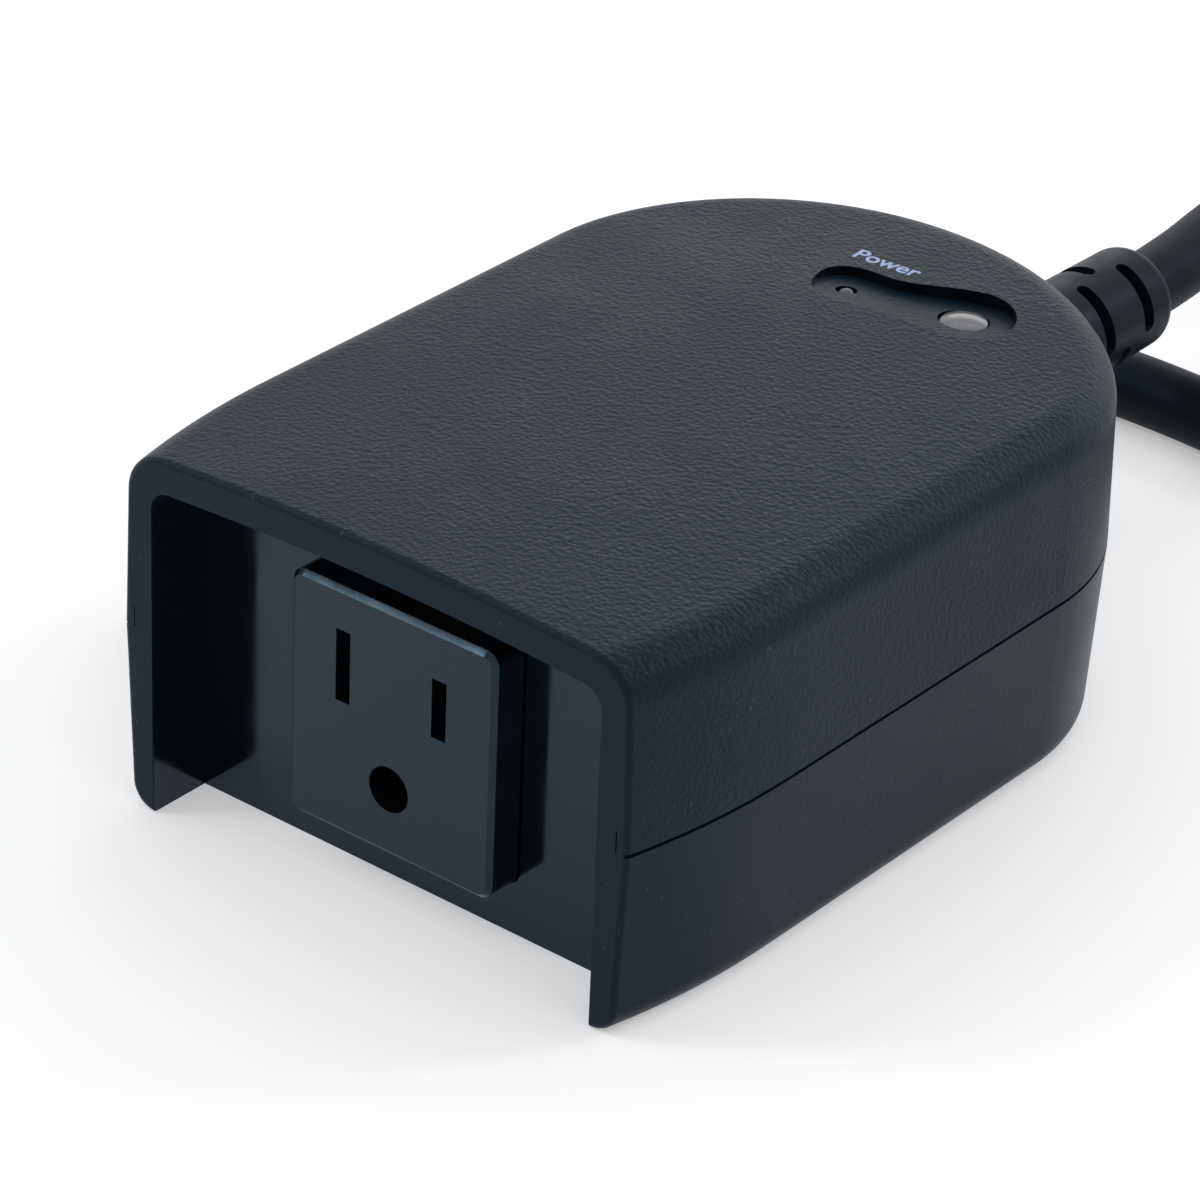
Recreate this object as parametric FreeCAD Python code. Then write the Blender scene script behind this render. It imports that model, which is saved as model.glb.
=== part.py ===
import FreeCAD, Part
import math
import os

# Outdoor plug-in timer: a two-part moulded housing with a hooded outlet at its front,
# a light sensor and a lamp in its top, a setting dial underneath and its own supply cord.
# Millimetres. X is the width, Y runs from the outlet to the cord, Z is up.
# The origin is on the floor under the middle of the housing.

V = FreeCAD.Vector
ACROSS = V(1, 0, 0)
ALONG = V(0, 1, 0)
UP = V(0, 0, 1)

# Housing, outside
HOUSING_LENGTH = 100.6
HOUSING_WIDTH = 72.0
CENTRE_HEIGHT = 43.5
CROWN = 1.6
PARTING_HEIGHT = 21.6
ARCH_DEPTH = 31.0
TAPER_LENGTH = 22.0
TAPER_SIDE = 2.7
DRAFT_LOW = 1.0
DRAFT_HIGH = 0.6
TOP_ROUND = 5.0
BOTTOM_ROUND = 3.0
RIM_ROUND = 0.7
GROOVE_HEIGHT = 0.4
GROOVE_DEPTH = 0.4

# Housing, walls and hood
WALL = 2.5
LIP_WALL = 3.8
HOOD_DEPTH = 8.0
PANEL_WALL = 2.5
HOOD_ROUND = 2.5
LAP_INSET = 1.4
LAP_HEIGHT = 2.4
LAP_GAP = 0.15
SEAL_HEIGHT = 0.8

# Outlet block
BLOCK_WIDTH = 27.0
BLOCK_HEAD = 5.1
BLOCK_LOW = 5.9
BLOCK_SETBACK = 3.4
BLOCK_DEPTH = 24.0
BLOCK_ROUND = 1.6
BLOCK_STEP = 1.1
BLOCK_FLANGE = 2.0
BLOCK_FLANGE_THICK = 2.0
FIT_GAP = 0.2
SLOT_PITCH = 12.7
SLOT_WIDTH = 1.9
LINE_SLOT = 6.8
NEUTRAL_SLOT = 8.3
GROUND_DROP = 11.9
GROUND_RADIUS = 2.6
SLOT_RISE = 5.4
CHAMBER_WIDTH = 5.2
CHAMBER_WALL = 4.0
CAP_THICK = 2.0
CONTACT_SHEET = 0.8
FOLD_ROUND = 1.2
RIB = 2.0
RIB_SETBACK = 8.0

# Recess, lamp and light sensor in the top
RECESS_HINGE = V(15.0, 26.0, 43.1)
RECESS_SLOPE = 6.6
RECESS_LEAN = 1.2
RECESS_TURN = 13.0
LAMP_AT = V(-0.4, 27.8, 0)
LENS_AT = V(12.8, 31.2, 0)
PAD_THICK = 1.6
LAMP_PAD = 5.0
LENS_PAD = 7.0
LAMP_RADIUS = 1.0
LAMP_FOOT = 0.5
LAMP_DROP = 0.55
LEG_RADIUS = 0.25
LAMP_LEG = 0.6
SENSOR_LEG = 1.2
SENSOR_RADIUS = 2.2
SENSOR_HEIGHT = 1.8
LENS_RADIUS = 2.6
LENS_GAP = 0.25
LENS_FLANGE = 1.0
LENS_DROP = 1.2
LENS_CURVE = 7.0
SENSOR_BOARD_THICK = 1.2
SENSOR_POST = 4.3
SENSOR_POST_RADIUS = 2.2

# Setting dial underneath
DIAL_RADIUS = 8.5
DIAL_THICK = 1.8
DIAL_RECESS = 0.4
DIAL_GAP = 0.3
WELL_FLOOR = 2.2
WELL_WALL = 2.0
SHAFT_RADIUS = 2.5
SHAFT_GAP = 0.1
COIN_SLOT_WIDTH = 2.0
COIN_SLOT_DEPTH = 0.9
CLIP_RADIUS = 4.8
CLIP_THICK = 0.6
CLIP_GAP = 0.3
DIAL_SEAL = 0.7
SWITCH_WIDTH = 14.0
SWITCH_HEIGHT = 4.5

# Boards, posts and screws
BOARD_WIDTH = 42.0
BOARD_LENGTH = 44.0
LEAD_DROP = 8.9
RELAY_START = 5.75
RELAY_END = 0.75
RELAY_SIZE = (-9.5, 19.0, 15.5)
FILM_START = 1.25
FILM_END = 12.25
FILM_SIZE = (-9.0, 17.5, 14.5)
SMOOTHING_PLACE = (6.5, 10.5)
FUSE_PLACE = (16.0, 15.0)
BOARD_THICK = 1.6
BOARD_HEIGHT = 12.0
BOARD_SETBACK = 8.0
POST_RADIUS = 2.6
POST_INSET = 3.2
BOARD_SCREW = 1.0
BOARD_SCREW_LENGTH = 7.0
BOSS_RADIUS = 3.6
WELL_BOSS_RADIUS = 4.2
BOSS_X = 27.6
BOSS_FRONT = 12.0
BOSS_REAR = 64.0
SCREW_RADIUS = 1.5
SCREW_HEAD = 2.8
SCREW_HEAD_THICK = 1.8
SCREW_WELL = 11.0
SCREW_LENGTH = 18.0

# Cord and strain relief
CORD_DIAMETER = 8.3
RELIEF_DIAMETER = 13.4
RELIEF_END_DIAMETER = 12.4
RELIEF_LENGTH = 35.0
RELIEF_NECK = 11.2
COLLAR_DIAMETER = 15.0
COLLAR_THICK = 2.2
RELIEF_TAIL = 5.0
RELIEF_SLOT = 1.9
RELIEF_PITCH = 4.0
RELIEF_FIRST = 5.1
RELIEF_SLOTS = 7
RELIEF_CORE = 9.8
SLOT_CENTRE = 37.0
SLOT_SWEEP = 68.0
LEAD_RADIUS = 1.25

# Plug on the cord's far end, lying on its flat side
PLUG_X = -51.2
PLUG_FACE_Y = -6.0
PLUG_WIDTH = 27.0
PLUG_SIDE = 9.5
PLUG_FLANGE = 5.0
PLUG_BODY = 25.0
PLUG_WAIST = 21.0
PLUG_RELIEF = 18.0
PLUG_EXIT_HEIGHT = 8.2
PLUG_NECK = 12.0
BLADE_HEIGHT = 6.2
BLADE_LENGTH = 17.5
BLADE_THICK = 1.5
BLADE_ROOT = 10.0
BLADE_HOLE = 1.5
LINE_BLADE = 6.3
NEUTRAL_BLADE = 7.9
PIN_RADIUS = 2.38
PIN_LENGTH = 21.0
PIN_ROOT = 2.1
PIN_STEP = 0.6
RIB_COUNT = 7
RIB_PITCH = 2.4
RIB_DEPTH = 0.6

# Places that follow from the sizes
FRONT_Y = -HOUSING_LENGTH / 2
REAR_Y = HOUSING_LENGTH / 2
HALF = HOUSING_WIDTH / 2
ARCH_Y = REAR_Y - ARCH_DEPTH
TAPER_Y = FRONT_Y + TAPER_LENGTH
TAPER_RADIUS = (TAPER_LENGTH ** 2 + TAPER_SIDE ** 2) / (2 * TAPER_SIDE)
CROWN_RADIUS = (HALF ** 2 + CROWN ** 2) / (2 * CROWN)
PANEL_Y = FRONT_Y + HOOD_DEPTH
PANEL_BACK = PANEL_Y + PANEL_WALL
BAY_HALF = HALF - TAPER_SIDE - LIP_WALL
BLOCK_Y = FRONT_Y + BLOCK_SETBACK
BLOCK_BACK = BLOCK_Y + BLOCK_DEPTH
BLOCK_HEIGHT = CENTRE_HEIGHT - LIP_WALL - BLOCK_HEAD - BLOCK_LOW
BLOCK_MIDDLE = BLOCK_LOW + BLOCK_HEIGHT / 2
SLOT_Z = BLOCK_MIDDLE + SLOT_RISE
GROUND_Z = SLOT_Z - GROUND_DROP
BOARD_Y = BLOCK_BACK + BOARD_SETBACK
BOARD_TOP = BOARD_HEIGHT + BOARD_THICK
CEILING = CENTRE_HEIGHT - WALL
PAD_LOW = CEILING - PAD_THICK
SENSOR_TOP = PAD_LOW - SENSOR_POST
WELL_DEPTH = DIAL_RECESS + DIAL_THICK + DIAL_GAP
WELL_TOP = WELL_DEPTH + WELL_FLOOR
BOARD_REAR = BOARD_Y + BOARD_LENGTH
DIAL_Y = BOARD_Y + BOARD_LENGTH / 2
COLLAR_Y = REAR_Y - WALL - COLLAR_THICK - FIT_GAP
RELIEF_Y = REAR_Y + FIT_GAP
RELIEF_END_Y = RELIEF_Y + RELIEF_LENGTH
PLUG_REAR_Y = PLUG_FACE_Y + PLUG_FLANGE + PLUG_BODY
PLUG_CORD_Y = PLUG_REAR_Y + PLUG_RELIEF

# Recess in the top, seen from above: rear edge from the left, then the front edge back
RECESS_OUTLINE = [
    V(-4.4, 28.2, 0),
    V(-3.6, 31.0, 0),
    V(-1.4, 32.1, 0),
    V(2.6, 32.4, 0),
    V(7.4, 34.6, 0),
    V(10.6, 36.3, 0),
    V(13.4, 36.9, 0),
    V(16.6, 35.4, 0),
    V(18.4, 32.2, 0),
    V(18.0, 28.9, 0),
    V(15.6, 26.5, 0),
    V(11.5, 25.4, 0),
    V(5.5, 24.8, 0),
    V(0.0, 24.1, 0),
    V(-3.0, 25.0, 0),
]

# Route of the cord, from the strain relief to the plug
CORD_ROUTE = [
    V(0, RELIEF_END_Y, PARTING_HEIGHT),
    V(0, 94, PARTING_HEIGHT),
    V(-1.4, 108, 22.3),
    V(-3.0, 124, 20.8),
    V(-2.0, 140.5, 15.2),
    V(5.0, 157.5, 9.4),
    V(17.8, 171.2, 5.6),
    V(36.2, 177.7, 4.3),
    V(56.6, 175.0, 4.3),
    V(73.4, 163.2, 4.3),
    V(82.8, 145.2, 4.3),
    V(82.9, 125.2, 4.3),
    V(73.8, 107.4, 4.3),
    V(57.0, 96.0, 4.3),
    V(36.6, 93.3, 4.3),
    V(16, 93.4, 4.3),
    V(-1.7, 94.9, 4.3),
    V(-19.2, 93.5, 4.3),
    V(-34.9, 85.4, 4.3),
    V(-46.2, 71.9, 5.4),
    V(PLUG_X, 55, PLUG_EXIT_HEIGHT),
    V(PLUG_X, PLUG_CORD_Y, PLUG_EXIT_HEIGHT),
]


# Small helpers
def block(x0, x1, y0, y1, z0, z1):
    return Part.makeBox(x1 - x0, y1 - y0, z1 - z0, V(x0, y0, z0))


def rod(radius, start, end):
    way = end - start
    return Part.makeCylinder(radius, way.Length, start, way)


def parallel_edges(shape, direction, test=None):
    chosen = []
    for edge in shape.Edges:
        if not isinstance(edge.Curve, Part.Line):
            continue
        if abs(abs(edge.Curve.Direction.dot(direction)) - 1) > 1e-6:
            continue
        if test is None or test(edge.CenterOfMass):
            chosen.append(edge)
    return chosen


def rounded_block(x0, x1, y0, y1, z0, z1, radius, direction):
    plain = block(x0, x1, y0, y1, z0, z1)
    return plain.makeFillet(radius, parallel_edges(plain, direction))


def mirrored(shape):
    return shape.mirror(V(0, 0, 0), ACROSS)


def tube_path(points, share=0.45):
    """Straight runs joined by tangent arcs, and the radius of each arc."""
    edges = []
    radii = []
    start = points[0]
    for before, corner, after in zip(points, points[1:], points[2:]):
        arriving = (corner - before).normalize()
        leaving = (after - corner).normalize()
        half_turn = arriving.getAngle(leaving) / 2
        reach = share * min((corner - before).Length, (after - corner).Length)
        radius = reach / math.tan(half_turn)
        arc_start = corner - arriving * reach
        arc_end = corner + leaving * reach
        inward = (leaving - arriving).normalize()
        middle = corner + inward * (radius / math.cos(half_turn) - radius)
        edges.append(Part.LineSegment(start, arc_start).toShape())
        edges.append(Part.Arc(arc_start, middle, arc_end).toShape())
        radii.append(radius)
        start = arc_end
    edges.append(Part.LineSegment(start, points[-1]).toShape())
    return Part.Wire(edges), radii


def tube(points, radius, share=0.45):
    path, radii = tube_path(points, share)
    circle = Part.makeCircle(radius, points[0], points[1] - points[0])
    solid = path.makePipeShell([Part.Wire(circle)], True, True)
    return solid, path.Length, radii


def save(node, shape):
    solids = shape.Solids
    result = solids[0] if len(solids) == 1 else Part.makeCompound(solids)
    if not solids or not result.isValid():
        raise RuntimeError(node + " is not a valid solid")
    result.exportStep("parts/" + node + ".step")


# Housing forms
def plan_wire(inset, front, height):
    """Tapered front, straight sides and an arched rear, seen from above."""
    side = HALF - inset
    centre_x = HALF - TAPER_RADIUS
    radius = TAPER_RADIUS - inset
    turn = math.asin((TAPER_Y - front) / radius)

    def on_taper(angle, sign):
        x = centre_x + radius * math.cos(angle)
        return V(sign * x, TAPER_Y - radius * math.sin(angle), height)

    def taper(first, last, sign):
        arc = Part.Arc(on_taper(first, sign), on_taper(turn / 2, sign), on_taper(last, sign))
        return arc.toShape()

    arch_form = Part.Ellipse(V(0, ARCH_Y, height), side, ARCH_DEPTH - inset)
    right = Part.LineSegment(V(side, TAPER_Y, height), V(side, ARCH_Y, height)).toShape()
    arch = Part.ArcOfEllipse(arch_form, 0, math.pi).toShape()
    left = Part.LineSegment(V(-side, ARCH_Y, height), V(-side, TAPER_Y, height)).toShape()
    face = Part.LineSegment(on_taper(turn, -1), on_taper(turn, 1)).toShape()
    return Part.Wire([taper(turn, 0, 1), right, arch, left, taper(0, turn, -1), face])


def prism(inset, front, low, high):
    return Part.Face(plan_wire(inset, front, low)).extrude(V(0, 0, high - low))


def crown_body(drop):
    """Everything under the crowned top, lowered by drop."""
    radius = CROWN_RADIUS - drop
    axis_start = V(0, 2 * FRONT_Y, CENTRE_HEIGHT - CROWN_RADIUS)
    return Part.makeCylinder(radius, 2 * HOUSING_LENGTH, axis_start, ALONG)


def front_edges(shape):
    return [e for e in shape.Edges if abs(e.BoundBox.YMax - FRONT_Y) < 1e-4]


def top_block():
    low = plan_wire(0, FRONT_Y, PARTING_HEIGHT)
    high = plan_wire(DRAFT_HIGH, FRONT_Y, CENTRE_HEIGHT + 1)
    body = Part.makeLoft([low, high], True, True).common(crown_body(0))
    rim = [e for e in body.Edges if e.BoundBox.ZMin > PARTING_HEIGHT + 10
           and e.BoundBox.YMax > FRONT_Y + 1]
    body = body.makeFillet(TOP_ROUND, rim)
    edges = [e for e in front_edges(body) if e.BoundBox.ZMax > PARTING_HEIGHT + 1]
    return body.makeFillet(RIM_ROUND, edges)


def bottom_block():
    low = plan_wire(DRAFT_LOW, FRONT_Y, 0)
    high = plan_wire(0, FRONT_Y, PARTING_HEIGHT)
    body = Part.makeLoft([low, high], True, True)
    rim = [e for e in body.Edges if e.BoundBox.ZMax < 1 and e.BoundBox.YMax > FRONT_Y + 1]
    body = body.makeFillet(BOTTOM_ROUND, rim)
    edges = [e for e in front_edges(body) if e.BoundBox.ZMax > 1
             and e.BoundBox.ZMin < PARTING_HEIGHT - 1]
    return body.makeFillet(RIM_ROUND, edges)


def inner_room():
    """The space behind the outlet panel, from the floor to the ceiling."""
    room = prism(WALL, PANEL_BACK, WALL, CENTRE_HEIGHT).common(crown_body(WALL))
    rim = [e for e in room.Edges if e.BoundBox.ZMin > PARTING_HEIGHT + 10]
    return room.makeFillet(TOP_ROUND - WALL, rim)


def hood_room():
    """The open bay in front of the panel, with no floor."""
    bay = block(-BAY_HALF, BAY_HALF, FRONT_Y - 1, PANEL_Y, -1, CENTRE_HEIGHT)
    bay = bay.common(crown_body(LIP_WALL))
    corners = parallel_edges(bay, ALONG, lambda c: c.z > PARTING_HEIGHT)
    return bay.makeFillet(HOOD_ROUND, corners)


def block_opening():
    gap = FIT_GAP
    half = BLOCK_WIDTH / 2 + gap
    high = BLOCK_LOW + BLOCK_HEIGHT + gap
    return rounded_block(-half, half, PANEL_Y - 1, PANEL_BACK + 1, BLOCK_LOW - gap, high,
                         BLOCK_ROUND + gap, ALONG)


def lap_ring(gap):
    """The tongue that stands inside the joint between the two shells."""
    low = PARTING_HEIGHT - 0.01
    ring = prism(LAP_INSET + gap, FRONT_Y, low, PARTING_HEIGHT + LAP_HEIGHT)
    panel = block(-BAY_HALF, BAY_HALF, PANEL_Y - 1, PANEL_BACK + 1, low - 1, CENTRE_HEIGHT)
    return ring.cut([inner_room(), hood_room(), panel])


def parting_groove():
    low = PARTING_HEIGHT - GROOVE_HEIGHT / 2
    outer = prism(-2, FRONT_Y - 1, low, low + GROOVE_HEIGHT)
    return outer.cut(prism(GROOVE_DEPTH, FRONT_Y - 2, low - 1, low + 2))


def relief_opening():
    """Bore for the neck of the strain relief, with a seat for its collar behind the wall."""
    collar = V(0, COLLAR_Y, PARTING_HEIGHT)
    rear = V(0, REAR_Y, PARTING_HEIGHT)
    outside = rear + V(0, 2, 0)
    gap = V(0, FIT_GAP, 0)
    bore = rod(RELIEF_NECK / 2 + FIT_GAP, collar, outside)
    seat = rod(COLLAR_DIAMETER / 2 + FIT_GAP, collar - gap, collar + V(0, COLLAR_THICK, 0) + gap)
    face = rod(RELIEF_DIAMETER, rear, outside)
    return bore.fuse([seat, face])


def relief_rib():
    """Plate that holds the collar of the strain relief against the rear wall."""
    back = COLLAR_Y - FIT_GAP
    half = COLLAR_DIAMETER / 2 + 3
    plate = block(-half, half, back - RIB, back, WALL - 1, CEILING + 1)
    bore = rod(RELIEF_NECK / 2 + FIT_GAP, V(0, back - RIB - 1, PARTING_HEIGHT),
               V(0, back + 1, PARTING_HEIGHT))
    return plate.cut(bore)


def boss_places():
    front = FRONT_Y + HOOD_DEPTH + BOSS_FRONT
    rear = front + BOSS_REAR - BOSS_FRONT
    return [V(x, y, 0) for x in (-BOSS_X, BOSS_X) for y in (front, rear)]


def board_posts():
    side = BOARD_WIDTH / 2 - POST_INSET
    front = BOARD_Y + POST_INSET
    rear = BOARD_REAR - POST_INSET
    return [V(x, y, 0) for x in (-side, side) for y in (front, rear)]


def sensor_posts():
    middle = (LAMP_AT + LENS_AT) / 2
    return [middle + V(0, 0, 0), V(LENS_AT.x + 7.0, LENS_AT.y - 3.5, 0)]


def sensor_pad():
    """Thickened ceiling under the recess, round the lamp and the lens."""
    height = CENTRE_HEIGHT - PAD_LOW
    lamp_pad = Part.makeCylinder(LAMP_PAD, height, LAMP_AT + V(0, 0, PAD_LOW), UP)
    lens_pad = Part.makeCylinder(LENS_PAD, height, LENS_AT + V(0, 0, PAD_LOW), UP)
    way = LENS_AT - LAMP_AT
    bridge = Part.makeBox(way.Length, 2 * LAMP_PAD, height, V(0, -LAMP_PAD, PAD_LOW))
    bridge.rotate(V(0, 0, 0), UP, math.degrees(math.atan2(way.y, way.x)))
    bridge.translate(LAMP_AT)
    pad = lamp_pad.fuse([lens_pad, bridge]).removeSplitter()
    return pad.common(crown_body(WALL / 2)).common(prism(WALL / 2, PANEL_BACK, PAD_LOW, CENTRE_HEIGHT))


def recess_cut():
    """The sloping recess: deep along its rear edge and nearly level with the top at its front."""
    outline = Part.BSplineCurve()
    outline.interpolate(RECESS_OUTLINE, PeriodicFlag=True)
    form = Part.Face(Part.Wire(outline.toShape())).extrude(V(0, 0, 2 * CENTRE_HEIGHT))
    above = Part.makeBox(80, 60, 30, V(-40, -30, 0))
    above.rotate(V(0, 0, 0), ACROSS, -RECESS_SLOPE)
    above.rotate(V(0, 0, 0), ALONG, RECESS_LEAN)
    above.rotate(V(0, 0, 0), UP, RECESS_TURN)
    above.translate(RECESS_HINGE)
    return form.common(above)


def top_shell():
    body = top_block().cut([inner_room(), hood_room()])
    room = inner_room()
    within = prism(WALL / 2, PANEL_BACK, 1, CENTRE_HEIGHT).common(crown_body(WALL / 2))
    inside = [sensor_pad()]
    for place in boss_places():
        low = place + V(0, 0, PARTING_HEIGHT + FIT_GAP)
        inside.append(rod(BOSS_RADIUS, low, place + V(0, 0, CEILING + 1)).common(within))
    for place in sensor_posts():
        inside.append(rod(SENSOR_POST_RADIUS, place + V(0, 0, SENSOR_TOP), place + V(0, 0, CEILING)))
    upper_half = block(-HALF, HALF, 0, REAR_Y, PARTING_HEIGHT + FIT_GAP, CENTRE_HEIGHT)
    inside.append(relief_rib().common(room).common(upper_half))
    low = BLOCK_LOW + BLOCK_HEIGHT + FIT_GAP
    rib_y = BLOCK_BACK - RIB_SETBACK
    rib = block(-BLOCK_WIDTH / 2, BLOCK_WIDTH / 2, rib_y, rib_y + RIB, low, CEILING)
    inside.append(rib.common(within))
    body = body.fuse(inside).removeSplitter()
    cuts = [block_opening(), relief_opening(), recess_cut(), parting_groove(), lap_ring(-LAP_GAP)]
    cuts.append(seal_room())
    cuts.append(rod(LENS_RADIUS + LENS_GAP, LENS_AT + V(0, 0, 30), LENS_AT + V(0, 0, 50)))
    cuts.append(rod(LAMP_RADIUS + FIT_GAP, LAMP_AT + V(0, 0, 30), LAMP_AT + V(0, 0, 50)))
    for place in boss_places():
        cuts.append(rod(SCREW_RADIUS, place + V(0, 0, PARTING_HEIGHT - 1),
                        place + V(0, 0, SCREW_WELL + SCREW_LENGTH + 2)))
    for place in sensor_posts():
        cuts.append(rod(BOARD_SCREW, place + V(0, 0, SENSOR_TOP - 1), place + V(0, 0, SENSOR_TOP + 4)))
    return body.cut(cuts)


def seal_room():
    low = PARTING_HEIGHT + LAP_HEIGHT - 0.01
    ring = prism(LAP_INSET - LAP_GAP, PANEL_BACK, low, low + SEAL_HEIGHT + LAP_GAP)
    return ring.cut(prism(WALL, PANEL_BACK - 1, low - 1, low + 5))


def housing_seals():
    """Two soft strips on the tongue, one on each side of the strain relief."""
    low = PARTING_HEIGHT + LAP_HEIGHT
    ring = prism(LAP_INSET, PANEL_BACK + 1, low, low + SEAL_HEIGHT)
    ring = ring.cut(prism(WALL - 0.1, PANEL_BACK - 2, low - 1, low + 5))
    side = ring.common(block(COLLAR_DIAMETER / 2 + 1, HALF, PANEL_BACK + 2, REAR_Y, low, low + 5))
    return Part.makeCompound([side, mirrored(side)])


def bottom_shell():
    body = bottom_block().cut([inner_room(), hood_room()])
    room = inner_room()
    inside = [Part.makeCylinder(DIAL_RADIUS + DIAL_GAP + WELL_WALL, WELL_TOP - 1, V(0, DIAL_Y, 1), UP)]
    within = prism(WALL / 2, PANEL_BACK, 1, PARTING_HEIGHT)
    for place in boss_places():
        post = rod(WELL_BOSS_RADIUS, place + V(0, 0, 1), place + V(0, 0, PARTING_HEIGHT - FIT_GAP))
        inside.append(post.common(within))
    for place in board_posts():
        inside.append(rod(POST_RADIUS, place + V(0, 0, 1), place + V(0, 0, BOARD_HEIGHT)))
    lower_half = block(-HALF, HALF, 0, REAR_Y, 0, PARTING_HEIGHT - FIT_GAP)
    inside.append(relief_rib().common(room).common(lower_half))
    rib_y = BLOCK_BACK - RIB_SETBACK
    inside.append(block(-BLOCK_WIDTH / 2, BLOCK_WIDTH / 2, rib_y, rib_y + RIB, 1, BLOCK_LOW - FIT_GAP))
    body = body.fuse(inside).removeSplitter()
    cuts = [block_opening(), relief_opening(), parting_groove()]
    cuts.append(Part.makeCylinder(DIAL_RADIUS + DIAL_GAP, WELL_DEPTH + 1, V(0, DIAL_Y, -1), UP))
    cuts.append(Part.makeCylinder(SHAFT_RADIUS + SHAFT_GAP, 20, V(0, DIAL_Y, -1), UP))
    cuts.append(Part.makeCylinder(seal_seat_radius(), 20, V(0, DIAL_Y, seal_seat_height()), UP))
    for place in boss_places():
        cuts.append(rod(SCREW_HEAD + FIT_GAP, place + V(0, 0, -1), place + V(0, 0, SCREW_WELL)))
        cuts.append(rod(SCREW_RADIUS + FIT_GAP, place, place + V(0, 0, PARTING_HEIGHT + 1)))
    for place in board_posts():
        high = place + V(0, 0, BOARD_HEIGHT + 1)
        cuts.append(rod(BOARD_SCREW, high - V(0, 0, BOARD_SCREW_LENGTH), high))
    tongue = lap_ring(0).cut(relief_opening())
    return body.cut(cuts).fuse(tongue).removeSplitter()


# Outlet
def slot_cut(x, length):
    half = SLOT_WIDTH / 2
    low = SLOT_Z - length / 2
    return block(x - half, x + half, BLOCK_Y - 1, BLOCK_BACK + 1, low, low + length)


def chamber(x, z, height):
    half = CHAMBER_WIDTH / 2
    low = z - height / 2
    return block(x - half, x + half, BLOCK_Y + CHAMBER_WALL, BLOCK_BACK + 1, low, low + height)


def outlet_block():
    half = BLOCK_WIDTH / 2
    high = BLOCK_LOW + BLOCK_HEIGHT
    body = rounded_block(-half, half, BLOCK_Y, BLOCK_BACK, BLOCK_LOW, high, BLOCK_ROUND, ALONG)
    step = BLOCK_STEP
    face = [e for e in body.Edges if abs(e.BoundBox.YMax - BLOCK_Y) < 1e-4]
    body = body.makeChamfer(step / 2, face)
    wide = half + BLOCK_FLANGE
    flange_y = PANEL_BACK + FIT_GAP
    flange = rounded_block(-wide, wide, flange_y, flange_y + BLOCK_FLANGE_THICK, BLOCK_LOW - BLOCK_FLANGE,
                           high + BLOCK_FLANGE, BLOCK_ROUND, ALONG)
    body = body.fuse(flange)
    ground_length = BLOCK_DEPTH + 2
    cuts = [slot_cut(SLOT_PITCH / 2, LINE_SLOT), slot_cut(-SLOT_PITCH / 2, NEUTRAL_SLOT)]
    cuts.append(chamber(SLOT_PITCH / 2, SLOT_Z, NEUTRAL_SLOT + 1.5))
    cuts.append(chamber(-SLOT_PITCH / 2, SLOT_Z, NEUTRAL_SLOT + 1.5))
    cuts.append(Part.makeCylinder(GROUND_RADIUS, ground_length, V(0, BLOCK_Y - 1, GROUND_Z), ALONG))
    pocket = GROUND_RADIUS + CONTACT_SHEET + 2 * FIT_GAP
    cuts.append(Part.makeCylinder(pocket, ground_length, V(0, BLOCK_Y + CHAMBER_WALL, GROUND_Z), ALONG))
    return body.cut(cuts).removeSplitter()


def outlet_cap():
    """Rear cap of the outlet, with a hole for each lead."""
    half = BLOCK_WIDTH / 2
    high = BLOCK_LOW + BLOCK_HEIGHT
    cap = rounded_block(-half, half, BLOCK_BACK, BLOCK_BACK + CAP_THICK, BLOCK_LOW, high,
                        BLOCK_ROUND, ALONG)
    holes = []
    for x, z in ((SLOT_PITCH / 2, SLOT_Z), (-SLOT_PITCH / 2, SLOT_Z), (0, GROUND_Z)):
        holes.append(Part.makeCylinder(LEAD_RADIUS + FIT_GAP, 10, V(x, BLOCK_BACK - 5, z), ALONG))
    return cap.cut(holes)


def blade_contact(x):
    """Sprung sheet folded into a U that grips a blade from both sides."""
    outer = CHAMBER_WIDTH / 2 - FIT_GAP
    front = BLOCK_Y + CHAMBER_WALL + FIT_GAP
    back = BLOCK_BACK - FIT_GAP
    low = SLOT_Z - NEUTRAL_SLOT / 2
    high = SLOT_Z + NEUTRAL_SLOT / 2
    fold = rounded_block(-outer, outer, front - 2, back, low, high, FOLD_ROUND, UP)
    fold = fold.cut(block(-outer - 1, outer + 1, front - 3, front, 0, 60))
    gap = outer - CONTACT_SHEET
    hollow = block(-gap, gap, front - 3, back - CONTACT_SHEET, 0, 60)
    contact = fold.cut(hollow)
    for side in (-1, 1):
        x_bump = side * (outer - CONTACT_SHEET)
        bump = rod(CONTACT_SHEET, V(x_bump, front + 3, low), V(x_bump, front + 3, high))
        contact = contact.fuse(bump.common(block(-outer, outer, front, back, 0, 60)))
    contact = contact.removeSplitter()
    contact.translate(V(x, 0, 0))
    return contact


def ground_contact():
    inner = GROUND_RADIUS + FIT_GAP
    front = BLOCK_Y + CHAMBER_WALL + FIT_GAP
    length = BLOCK_BACK - FIT_GAP - front
    sleeve = Part.makeCylinder(inner + CONTACT_SHEET, length, V(0, front, GROUND_Z), ALONG)
    sleeve = sleeve.cut(Part.makeCylinder(inner, length + 2, V(0, front - 1, GROUND_Z), ALONG))
    return sleeve.cut(block(-0.5, 0.5, front - 1, front + 0.7 * length, GROUND_Z, GROUND_Z + 10))


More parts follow.
